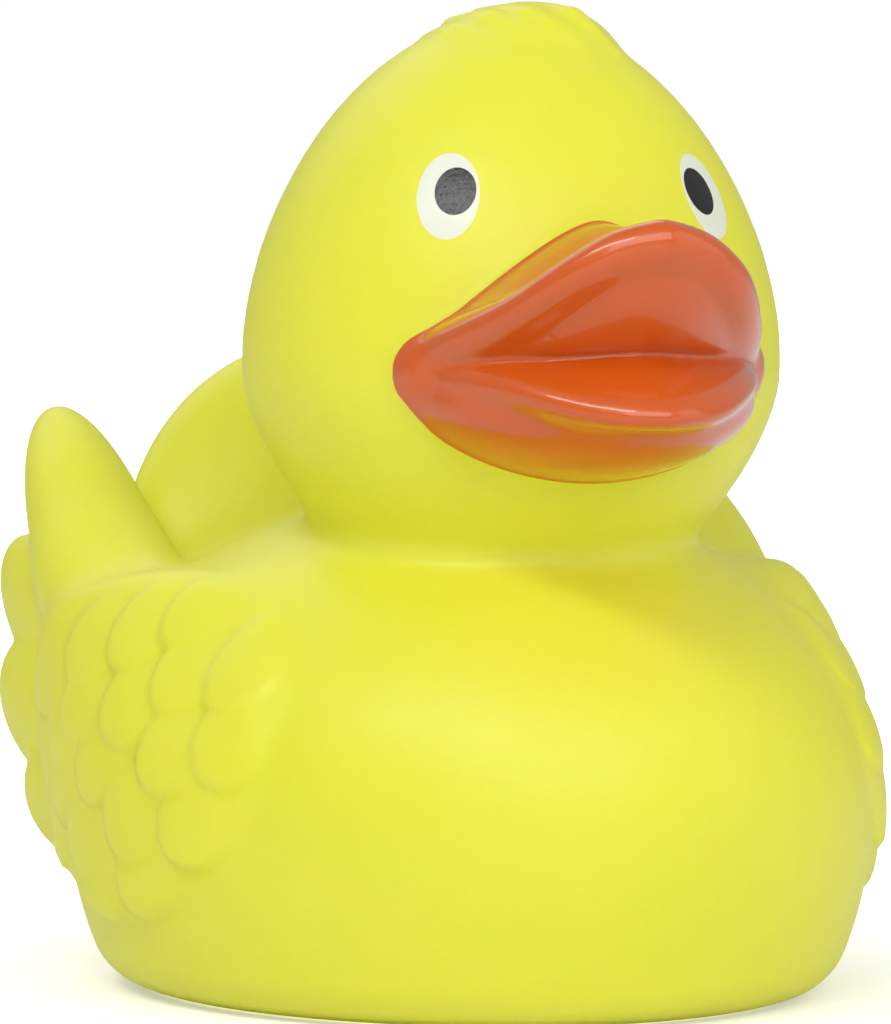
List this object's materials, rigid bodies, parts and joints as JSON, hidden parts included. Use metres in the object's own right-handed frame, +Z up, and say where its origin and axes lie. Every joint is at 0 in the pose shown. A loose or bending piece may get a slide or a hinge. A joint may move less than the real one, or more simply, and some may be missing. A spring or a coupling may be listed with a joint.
{
  "type": "rubber duck",
  "caption": "Plump soft vinyl bath duck with a broad glossy bill, painted eyes, feathered wings, a fan tail and a squeaker in its flat base.",
  "frame": {"origin": "centre of the duck's box at its base plane, on the surface that it stands on", "axes": "+Z up through the crown, the duck looks along -Y, its left wing is on +X"},
  "size_m": [0.0674, 0.0835, 0.0793],
  "materials": {
    "vinyl_yellow": "semi-matte soft vinyl, lime yellow, with a gloss orange bill and painted eyes",
    "squeaker_plastic": "satin moulded",
    "reed_film": "smooth thin film"
  },
  "bodies": {
    "root": {"duck_body": "vinyl_yellow", "squeaker_housing": "squeaker_plastic", "squeaker_reed_block": "squeaker_plastic", "squeaker_reed": "reed_film"}
  },
  "joints": []
}
